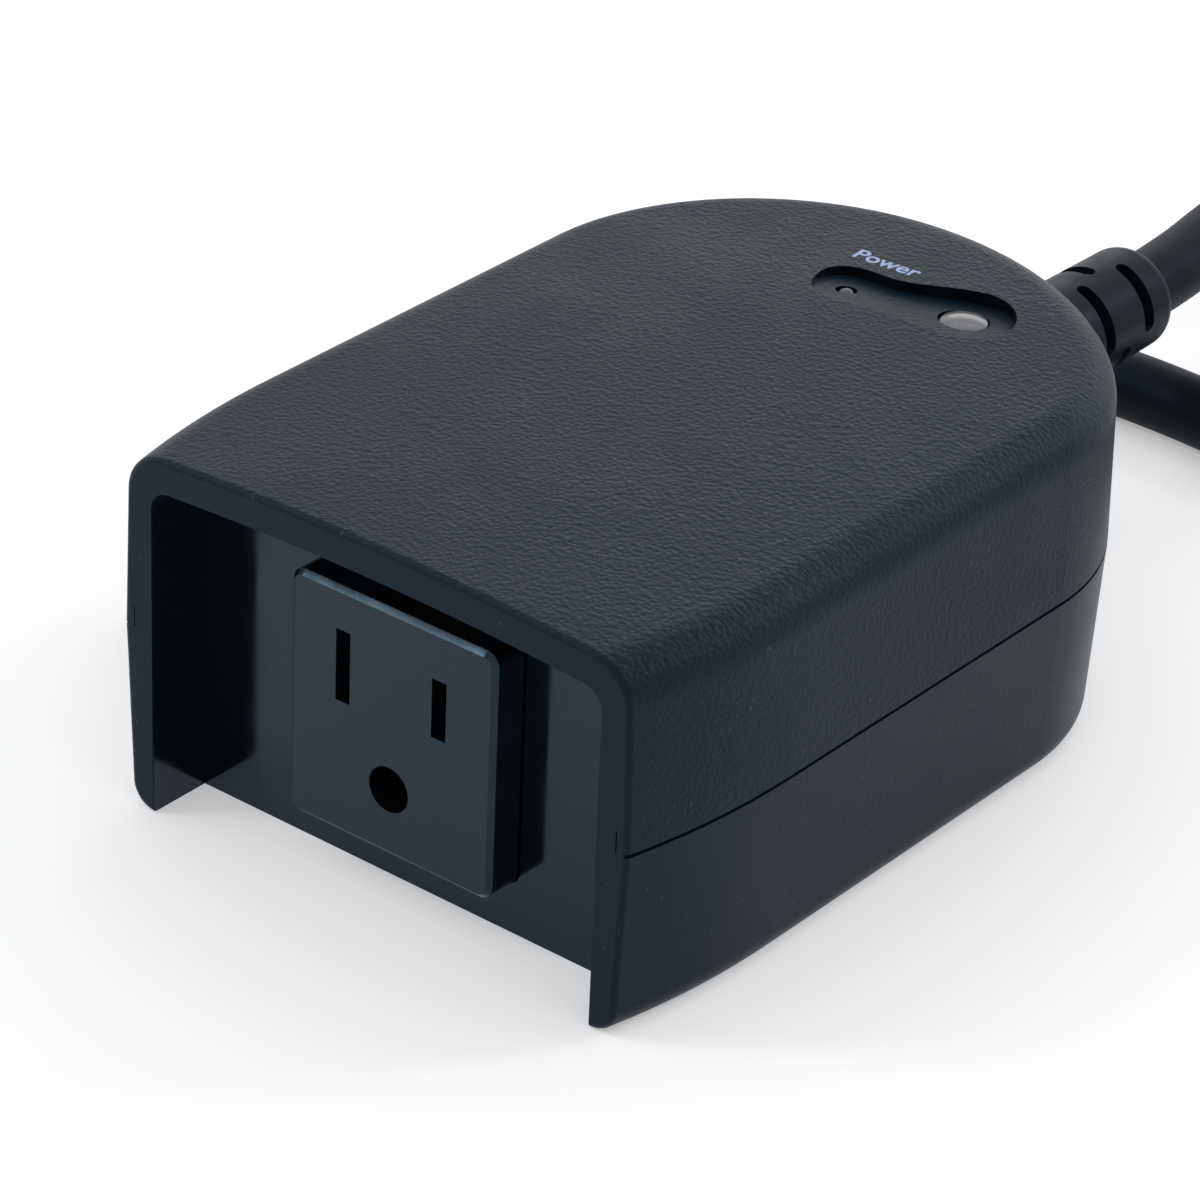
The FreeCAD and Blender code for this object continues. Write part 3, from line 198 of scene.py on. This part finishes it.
# Materials
class Finish:
    """A material's nodes, added one by one."""

    def __init__(self, name, colour, roughness, metallic=0.0, specular=0.5, tint=(1, 1, 1)):
        self.material = bpy.data.materials.new(name)
        self.material.use_nodes = True
        self.nodes = self.material.node_tree.nodes
        self.links = self.material.node_tree.links
        self.shader = self.nodes["Principled BSDF"]
        self.shader.inputs["Base Color"].default_value = (*colour[:3], 1)
        self.shader.inputs["Roughness"].default_value = roughness
        self.shader.inputs["Metallic"].default_value = metallic
        self.shader.inputs["Specular IOR Level"].default_value = specular
        self.shader.inputs["Specular Tint"].default_value = (*tint[:3], 1)
        self.place = self.add("ShaderNodeTexCoord").outputs["Object"]

    def add(self, kind, **settings):
        node = self.nodes.new(kind)
        for key, value in settings.items():
            setattr(node, key, value)
        return node

    def link(self, source, target):
        self.links.new(source, target)

    def math(self, operation, first, second=None):
        node = self.add("ShaderNodeMath", operation=operation)
        for socket, value in zip(node.inputs, (first, second)):
            if isinstance(value, (int, float)):
                socket.default_value = value
            elif value is not None:
                self.link(value, socket)
        return node.outputs["Value"]

    def product(self, values):
        result = values[0]
        for value in values[1:]:
            result = self.math("MULTIPLY", result, value)
        return result

    def axes(self):
        node = self.add("ShaderNodeSeparateXYZ")
        self.link(self.place, node.inputs["Vector"])
        return node.outputs

    def normal(self):
        geometry = self.add("ShaderNodeNewGeometry")
        node = self.add("ShaderNodeSeparateXYZ")
        self.link(geometry.outputs["True Normal"], node.inputs["Vector"])
        return node.outputs

    def inside_box(self, low, high):
        """1 between two corners, 0 outside them."""
        tests = []
        for axis, start, end in zip(self.axes(), low, high):
            tests.append(self.math("GREATER_THAN", axis, start))
            tests.append(self.math("LESS_THAN", axis, end))
        return self.product(tests)

    def noise(self, size, detail=3.0, rough=0.5, stretch=(1, 1, 1)):
        mapping = self.add("ShaderNodeMapping")
        mapping.inputs["Scale"].default_value = [s / size for s in stretch]
        self.link(self.place, mapping.inputs["Vector"])
        node = self.add("ShaderNodeTexNoise")
        node.inputs["Scale"].default_value = 1.0
        node.inputs["Detail"].default_value = detail
        node.inputs["Roughness"].default_value = rough
        self.link(mapping.outputs["Vector"], node.inputs["Vector"])
        return node.outputs["Fac"]

    def pebbles(self, size):
        node = self.add("ShaderNodeTexVoronoi", feature="SMOOTH_F1")
        node.inputs["Scale"].default_value = 1 / size
        node.inputs["Smoothness"].default_value = 0.6
        self.link(self.place, node.inputs["Vector"])
        return node.outputs["Distance"]

    def bands(self, size, distortion=0.0):
        node = self.add("ShaderNodeTexWave", wave_type="BANDS", bands_direction="X")
        node.inputs["Scale"].default_value = 1 / size
        node.inputs["Distortion"].default_value = distortion
        self.link(self.place, node.inputs["Vector"])
        return node.outputs["Fac"]

    def between(self, value, low, high, start, end):
        node = self.add("ShaderNodeMapRange")
        for name, number in zip(("From Min", "From Max", "To Min", "To Max"), (start, end, low, high)):
            node.inputs[name].default_value = number
        self.link(value, node.inputs["Value"])
        return node.outputs["Result"]

    def blend(self, share, first, second):
        node = self.add("ShaderNodeMix", data_type="RGBA")
        self.link(share, node.inputs["Factor"])
        for socket, value in ((node.inputs[6], first), (node.inputs[7], second)):
            if isinstance(value, tuple):
                socket.default_value = (*value[:3], 1)
            else:
                self.link(value, socket)
        return node.outputs[2]

    def bump(self, height, depth, strength=1.0):
        node = self.add("ShaderNodeBump")
        node.inputs["Distance"].default_value = depth
        node.inputs["Strength"].default_value = strength
        self.link(height, node.inputs["Height"])
        self.link(node.outputs["Normal"], self.shader.inputs["Normal"])

    def colour(self, source):
        self.link(source, self.shader.inputs["Base Color"])

    def rough(self, source):
        self.link(source, self.shader.inputs["Roughness"])


def shade(colour, amount):
    return tuple(min(1.0, c * amount) for c in colour[:3])


def polished_faces(finish, normal):
    """1 on the polished inside of the hood and the upright walls of the recess, 0 elsewhere."""
    hood = finish.inside_box((-HOOD_HALF, HOOD_FRONT, -MM), (HOOD_HALF, PANEL_FACE, HOOD_CEILING))
    recess = finish.inside_box(RECESS_LOW, RECESS_HIGH)
    upright = finish.math("LESS_THAN", finish.math("ABSOLUTE", normal["Z"]), 0.6)
    return finish.math("MAXIMUM", hood, finish.math("MULTIPLY", recess, upright))


def grained_faces(finish, normal, polished):
    """1 on the top, less on the sides, nearly nothing on the hood's front rim, 0 where polished."""
    upward = finish.between(normal["Z"], 0.45, 1.0, 0.3, 0.8)
    not_rim = finish.between(normal["Y"], 0.08, 1.0, -0.9, -0.5)
    return finish.product([upward, not_rim, finish.math("SUBTRACT", 1.0, polished)])


def shell_finish(name, settings, grain_share, roughness):
    """Grained outside with polished inner faces, an uneven sheen and a few pale specks."""
    colour = settings.shell_colour
    finish = Finish(name, colour, roughness, specular=settings.sheen, tint=tuple(settings.sheen_tint))
    normal = finish.normal()
    polished = polished_faces(finish, normal)
    unpolished = finish.math("SUBTRACT", 1.0, polished)
    grained = grained_faces(finish, normal, polished)
    strength = finish.between(polished, settings.sheen, settings.polish, 0, 1)
    finish.link(strength, finish.shader.inputs["Specular IOR Level"])
    tone = finish.blend(finish.noise(0.03, 2.0), shade(colour, 0.95), shade(colour, 1.05))
    specks = finish.between(finish.noise(0.0009, 1.0), 0.0, 1.0, 0.74, 0.8)
    dusty = finish.blend(finish.math("MULTIPLY", specks, 0.25), tone, (0.12, 0.12, 0.12))
    finish.colour(finish.blend(polished, dusty, tuple(settings.gloss_colour)))
    sheen = finish.between(finish.noise(0.012, 4.0), roughness - 0.02, roughness + 0.03, 0.35, 0.65)
    gloss = finish.between(finish.noise(0.009, 3.0), 0.08, 0.18, 0.3, 0.7)
    outside = finish.math("MULTIPLY", sheen, unpolished)
    inside = finish.math("MULTIPLY", gloss, polished)
    finish.rough(finish.math("ADD", outside, inside))
    pebble = finish.pebbles(settings.grain_size)
    fine = finish.noise(settings.grain_size * 0.45, 3.0, 0.6)
    grain = finish.math("ADD", pebble, finish.math("MULTIPLY", fine, 0.6))
    finish.bump(finish.math("MULTIPLY", grain, grained), settings.grain_depth, grain_share)
    return finish.material


def moulded_finish(name, colour, roughness, grain=0.00025, depth=0.00002, specular=0.4, tint=(1, 1, 1)):
    """A plain moulding with a fine surface and a slightly uneven sheen."""
    finish = Finish(name, colour, roughness, specular=specular, tint=tint)
    uneven = finish.noise(0.006, 3.0)
    finish.colour(finish.blend(uneven, shade(colour, 0.92), shade(colour, 1.08)))
    finish.rough(finish.between(finish.noise(0.004, 4.0), roughness - 0.05, roughness + 0.06, 0.3, 0.7))
    finish.bump(finish.noise(grain, 3.0, 0.6), depth, 0.6)
    return finish.material


def metal_finish(name, colour, roughness, grain=0.0004, stretch=(1, 6, 6)):
    """Stamped or turned metal with fine draw lines."""
    finish = Finish(name, colour, roughness, metallic=1.0)
    lines = finish.noise(grain, 4.0, 0.6, stretch)
    finish.rough(finish.between(lines, roughness - 0.08, roughness + 0.12, 0.3, 0.7))
    finish.colour(finish.blend(finish.noise(0.003, 3.0), shade(colour, 0.85), shade(colour, 1.1)))
    finish.bump(lines, 0.000008, 0.5)
    return finish.material


def clear_finish(name, colour, roughness, clearness):
    """Clear or slightly milky moulded resin."""
    finish = Finish(name, colour, roughness)
    finish.shader.inputs["Transmission Weight"].default_value = clearness
    finish.shader.inputs["IOR"].default_value = 1.49
    finish.rough(finish.between(finish.noise(0.001, 2.0), roughness, roughness + 0.05, 0.3, 0.7))
    swirl = finish.between(finish.noise(0.0015, 2.0), 0.88, 1.0, 0.3, 0.7)
    finish.colour(finish.blend(swirl, shade(colour, 0.7), tuple(colour)))
    return finish.material


def board_finish(name):
    """Green board with lighter copper tracks under its mask."""
    finish = Finish(name, (0.02, 0.12, 0.045), 0.3)
    tracks = finish.between(finish.bands(0.004, distortion=3.0), 0.0, 1.0, 0.78, 0.82)
    weave = finish.noise(0.0006, 2.0)
    mask = finish.blend(weave, (0.012, 0.085, 0.032), (0.02, 0.12, 0.045))
    finish.colour(finish.blend(tracks, mask, (0.05, 0.2, 0.07)))
    finish.bump(finish.math("ADD", tracks, finish.math("MULTIPLY", weave, 0.2)), 0.00004, 0.8)
    return finish.material


def sensor_finish(name):
    """Pale disc with the winding dark track of a light sensor."""
    finish = Finish(name, (0.5, 0.42, 0.32), 0.35)
    track = finish.between(finish.bands(0.0011), 0.0, 1.0, 0.45, 0.55)
    grime = finish.noise(0.0008, 3.0)
    pale = finish.blend(grime, (0.5, 0.42, 0.32), (0.62, 0.52, 0.4))
    finish.colour(finish.blend(track, pale, (0.16, 0.05, 0.02)))
    finish.bump(track, 0.00002, 0.6)
    return finish.material


def dress(node, material):
    """Gives a node of the frame its finish."""
    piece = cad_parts[node]
    piece.data.materials.clear()
    piece.data.materials.append(material)
    return piece


# Stage
def look_at_timer(stage):
    """The camera's place and turn from the stage's settings."""
    azimuth, elevation = stage.azimuth, stage.elevation
    back = Vector((math.sin(azimuth) * math.cos(elevation), -math.cos(azimuth) * math.cos(elevation),
                   math.sin(elevation)))
    right = (-back).cross(Vector((0, 0, 1))).normalized()
    up = right.cross(-back)
    turn = Matrix((right, up, back)).transposed().to_4x4()
    roll = Matrix.Rotation(stage.roll, 4, "Z")
    return Matrix.Translation(Vector(stage.target) + back * stage.distance) @ turn @ roll


def seen_directly(nodes, links):
    """1 for what the camera, a reflection or clear plastic shows, 0 for what lights the timer."""
    paths = nodes.new("ShaderNodeLightPath")
    seen = paths.outputs["Is Camera Ray"]
    for name in ("Is Glossy Ray", "Is Transmission Ray"):
        either = nodes.new("ShaderNodeMath")
        either.operation = "MAXIMUM"
        links.new(seen, either.inputs[0])
        links.new(paths.outputs[name], either.inputs[1])
        seen = either.outputs["Value"]
    return seen


def floor_finish(stage):
    """Pale floor that is seen nearly white away from the shadow."""
    finish = Finish("pale_floor", stage.floor_colour, 0.8, specular=0.0)
    finish.shader.inputs["Emission Color"].default_value = (1, 1, 1, 1)
    seen = seen_directly(finish.nodes, finish.links)
    finish.link(finish.math("MULTIPLY", seen, stage.floor_glow), finish.shader.inputs["Emission Strength"])
    return finish.material


def studio_world(stage):
    world = bpy.data.worlds.new("studio")
    world.use_nodes = True
    nodes, links = world.node_tree.nodes, world.node_tree.links
    background = nodes["Background"]
    background.inputs["Color"].default_value = (1, 1, 1, 1)
    strength = nodes.new("ShaderNodeMapRange")
    strength.inputs["To Min"].default_value = stage.room_light
    strength.inputs["To Max"].default_value = 1.0
    links.new(seen_directly(nodes, links), strength.inputs["Value"])
    links.new(strength.outputs["Result"], background.inputs["Strength"])
    return world


def soft_lamp(name, place, size, power):
    """Rectangular lamp that faces the timer."""
    data = bpy.data.lights.new(name, "AREA")
    data.shape = "RECTANGLE"
    data.size, data.size_y = size
    data.energy = power
    lamp = bpy.data.objects.new(name, data)
    lamp.location = place
    lamp.rotation_euler = (Vector(place) - Vector(LAMP_AIM)).to_track_quat("Z", "Y").to_euler()
    bpy.context.scene.collection.objects.link(lamp)


class TIMER_OT_stage(bpy.types.Operator):
    """Makes the floor, the lights and the camera"""

    bl_idname = "timer.stage"
    bl_label = "Stage"

    def execute(self, context):
        scene = context.scene
        stage = scene.timer_stage
        scene.view_settings.view_transform = "Standard"
        bpy.ops.mesh.primitive_plane_add(size=FLOOR_SIZE, location=(0, 0, 0))
        floor = context.object
        floor.name = "floor"
        floor.data.materials.append(floor_finish(stage))
        scene.world = studio_world(stage)
        powers = (stage.key_power, stage.rim_power, stage.edge_power, stage.edge_power)
        for (name, place, size), power in zip(LAMPS, powers):
            soft_lamp(name, place, size, power)
        data = bpy.data.cameras.new("camera")
        data.sensor_width = SENSOR_WIDTH
        data.lens = stage.lens
        data.clip_start, data.clip_end = CLIP
        camera = bpy.data.objects.new("camera", data)
        camera.matrix_world = look_at_timer(stage)
        scene.collection.objects.link(camera)
        scene.camera = camera
        return {"FINISHED"}


# Housing
class TIMER_OT_housing(bpy.types.Operator):
    """Gives the two shells and their seals and screws their finish"""

    bl_idname = "timer.housing"
    bl_label = "Housing"

    def execute(self, context):
        settings = context.scene.timer_finish
        dress("top_shell", shell_finish("grained_shell", settings, 0.8, 0.44))
        dress("bottom_shell", shell_finish("satin_shell", settings, 0.25, 0.4))
        dress("housing_seals", moulded_finish("seal_rubber", (0.01, 0.01, 0.011), 0.7))
        steel = metal_finish("screw_steel", (0.45, 0.45, 0.46), 0.35)
        for node in ("housing_screws", "board_screws", "dial_clip"):
            dress(node, steel)
        return {"FINISHED"}


# Outlet
class TIMER_OT_outlet(bpy.types.Operator):
    """Finishes the outlet block and its contacts"""

    bl_idname = "timer.outlet"
    bl_label = "Outlet"

    def execute(self, context):
        settings = context.scene.timer_finish
        gloss = moulded_finish("outlet_gloss", shade(settings.gloss_colour, 2), 0.25, depth=0.000008,
                               specular=settings.polish, tint=tuple(settings.sheen_tint))
        dress("outlet_block", gloss)
        dress("outlet_cap", gloss)
        brass = metal_finish("contact_brass", (0.72, 0.52, 0.24), 0.28)
        for node in ("contact_line", "contact_neutral", "contact_ground"):
            dress(node, brass)
        return {"FINISHED"}


# Lamp and light sensor
class TIMER_OT_indicators(bpy.types.Operator):
    """Finishes the lamp, the light sensor and its window"""

    bl_idname = "timer.indicators"
    bl_label = "Lamp and sensor"

    def execute(self, context):
        dress("power_lamp", clear_finish("lamp_clear", (0.62, 0.66, 0.72), 0.06, 0.88))
        dress("sensor_lens", clear_finish("lens_clear", (0.60, 0.62, 0.65), 0.1, 0.8))
        dress("light_sensor", sensor_finish("sensor_face"))
        return {"FINISHED"}


# Boards and components
class TIMER_OT_boards(bpy.types.Operator):
    """Finishes the two boards, what stands on them and the inner leads"""

    bl_idname = "timer.boards"
    bl_label = "Boards"

    def execute(self, context):
        dark = moulded_finish("component_dark", (0.012, 0.012, 0.014), 0.45)
        blue = moulded_finish("component_blue", (0.03, 0.09, 0.3), 0.3)
        board = board_finish("board_mask")
        finishes = {
            "circuit_board": board,
            "sensor_board": board,
            "smoothing_capacitor": dark,
            "control_chip": dark,
            "rotary_switch": dark,
            "relay": blue,
            "varistor": blue,
            "film_capacitor": moulded_finish("component_yellow", (0.55, 0.38, 0.05), 0.35),
            "fuse_holder": moulded_finish("fuse_ceramic", (0.7, 0.68, 0.62), 0.4),
        }
        black = moulded_finish("lead_black", (0.01, 0.01, 0.012), 0.4)
        white = moulded_finish("lead_white", (0.7, 0.7, 0.68), 0.4)
        finishes["line_lead"] = finishes["switched_lead"] = black
        finishes["neutral_lead"] = finishes["return_lead"] = white
        finishes["ground_lead"] = moulded_finish("lead_green", (0.02, 0.2, 0.05), 0.4)
        for node, material in finishes.items():
            dress(node, material)
        return {"FINISHED"}


# Printed words
def printed_word(name, word, size, ink, place, turn, material, face_down=False):
    """Flat word whose first letter, or middle where it faces down, stands at place."""
    data = bpy.data.curves.new(name, "FONT")
    data.body = word
    data.size = size
    data.extrude = ink / 2
    data.offset = size * LETTER_WEIGHT
    data.materials.append(material)
    piece = bpy.data.objects.new(name, data)
    spin = Matrix.Rotation(turn, 4, "Z")
    if face_down:
        data.align_x, data.align_y = "CENTER", "CENTER"
        spin = spin @ Matrix.Rotation(math.pi, 4, "X")
    piece.matrix_world = Matrix.Translation(place) @ spin
    bpy.context.scene.collection.objects.link(piece)
    return piece


def flat_mark(name, points, thickness, material):
    """Thin plate over a closed outline; points are the corners of its lower face."""
    low = points[0][2]
    count = len(points)
    vertices = [(x, y, low) for x, y, _ in points] + [(x, y, low + thickness) for x, y, _ in points]
    faces = [tuple(reversed(range(count))), tuple(range(count, 2 * count))]
    for index in range(count):
        after = (index + 1) % count
        faces.append((index, after, after + count, index + count))
    mesh = bpy.data.meshes.new(name)
    mesh.from_pydata(vertices, [], faces)
    mesh.validate()
    mesh.materials.append(material)
    piece = bpy.data.objects.new(name, mesh)
    bpy.context.scene.collection.objects.link(piece)
    return piece


class TIMER_OT_legends(bpy.types.Operator):
    """Prints the word beside the lamp and the words round the dial"""

    bl_idname = "timer.legends"
    bl_label = "Printed words"

    def execute(self, context):
        legends = context.scene.timer_legends
        finish = context.scene.timer_finish
        ink = moulded_finish("pale_ink", finish.print_colour, 0.5, 0.0001, 0.000004)
        word = printed_word("lamp_word", legends.lamp_word, legends.lamp_word_size, legends.ink,
                            legends.lamp_word_place, legends.lamp_word_turn, ink)
        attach(word, HOUSING)
        for index, label in enumerate(DIAL_WORDS):
            angle = -math.pi / 2 + index * DIAL_STEP
            place = (DIAL_CENTRE[0] + legends.dial_ring * math.cos(angle),
                     DIAL_CENTRE[1] + legends.dial_ring * math.sin(angle), 0)
            piece = printed_word("dial_word_" + label, label, legends.dial_word_size, legends.ink,
                                 place, 0, ink, face_down=True)
            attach(piece, HOUSING)
        return {"FINISHED"}


# Setting dial
class TIMER_OT_dial(bpy.types.Operator):
    """Finishes the setting dial in the underside and prints its pointer"""

    bl_idname = "timer.dial"
    bl_label = "Dial"

    def execute(self, context):
        settings = context.scene.timer_finish
        dress("timer_dial", moulded_finish("dial_plastic", shade(settings.shell_colour, 1.5), 0.4,
                                           specular=settings.sheen))
        dress("dial_seal", moulded_finish("dial_rubber", (0.01, 0.01, 0.011), 0.7))
        ink = moulded_finish("dial_ink", settings.print_colour, 0.5, 0.0001, 0.000004)
        x, y = DIAL_CENTRE
        low = DIAL_FACE - POINTER_LIFT
        base = y - POINTER_START
        corners = [(x, y - POINTER_END, low), (x + POINTER_HALF, base, low), (x - POINTER_HALF, base, low)]
        pointer = flat_mark("dial_pointer", corners, POINTER_THICK, ink)
        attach(pointer, DIAL)
        return {"FINISHED"}


# Cord, strain relief and plug
def cord_tube(name, points, radius, material, sides):
    """Round cord along one open curve."""
    data = bpy.data.curves.new(name, "CURVE")
    data.dimensions = "3D"
    spline = data.splines.new("NURBS")
    spline.points.add(len(points) - 1)
    for target, point in zip(spline.points, points):
        target.co = (*point, 1)
    spline.order_u = 3
    spline.use_endpoint_u = True
    spline.resolution_u = 16
    data.bevel_depth = radius
    data.bevel_resolution = sides
    data.use_fill_caps = True
    data.materials.append(material)
    piece = bpy.data.objects.new(name, data)
    bpy.context.scene.collection.objects.link(piece)
    return piece


class TIMER_OT_cord(bpy.types.Operator):
    """Lays the supply cord and finishes its strain relief and plug"""

    bl_idname = "timer.cord"
    bl_label = "Cord and plug"

    def execute(self, context):
        settings = context.scene.timer_finish
        cord = context.scene.timer_cord
        colour = settings.jacket_colour
        sheen = {"specular": settings.jacket_sheen, "tint": tuple(settings.sheen_tint)}
        jacket = moulded_finish("cord_jacket", colour, 0.5, 0.0006, 0.00002, **sheen)
        relief = dress("cord_strain_relief", moulded_finish("relief_rubber", colour, 0.4, **sheen))
        plug = dress("plug_body", moulded_finish("plug_moulding", colour, 0.38, **sheen))
        brass = metal_finish("blade_metal", (0.72, 0.6, 0.36), 0.25)
        blades = [dress(n, brass) for n in ("plug_blade_line", "plug_blade_neutral", "plug_ground_pin")]
        piece = cord_tube("supply_cord_tube", CORD_ROUTE, cord.diameter / 2, jacket, cord.sides)
        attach(piece, HOUSING)
        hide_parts("supply_cord")
        return {"FINISHED"}


# Panel and registration
STEPS = ("stage", "housing", "outlet", "indicators", "boards", "legends", "dial", "cord")


class TIMER_PT_panel(bpy.types.Panel):
    """Lists the timer's pieces and their settings."""

    bl_idname = "TIMER_PT_panel"
    bl_label = "Outdoor timer"
    bl_space_type = "VIEW_3D"
    bl_region_type = "UI"
    bl_category = "Timer"

    def draw(self, context):
        for name in SETTINGS:
            group = getattr(context.scene, name)
            box = self.layout.box()
            for key in group.__annotations__:
                box.prop(group, key)
        for step in STEPS:
            self.layout.operator("timer." + step)


CLASSES = (
    TimerStage,
    TimerFinish,
    TimerLegends,
    TimerCord,
    TIMER_OT_stage,
    TIMER_OT_housing,
    TIMER_OT_outlet,
    TIMER_OT_indicators,
    TIMER_OT_boards,
    TIMER_OT_legends,
    TIMER_OT_dial,
    TIMER_OT_cord,
    TIMER_PT_panel,
)


def register():
    for item in CLASSES:
        bpy.utils.register_class(item)
    for name, group in SETTINGS.items():
        setattr(bpy.types.Scene, name, PointerProperty(type=group))


def unregister():
    for name in SETTINGS:
        delattr(bpy.types.Scene, name)
    for item in reversed(CLASSES):
        bpy.utils.unregister_class(item)


def main():
    register()
    for step in STEPS:
        getattr(bpy.ops.timer, step)()


if __name__ == "__main__":
    main()
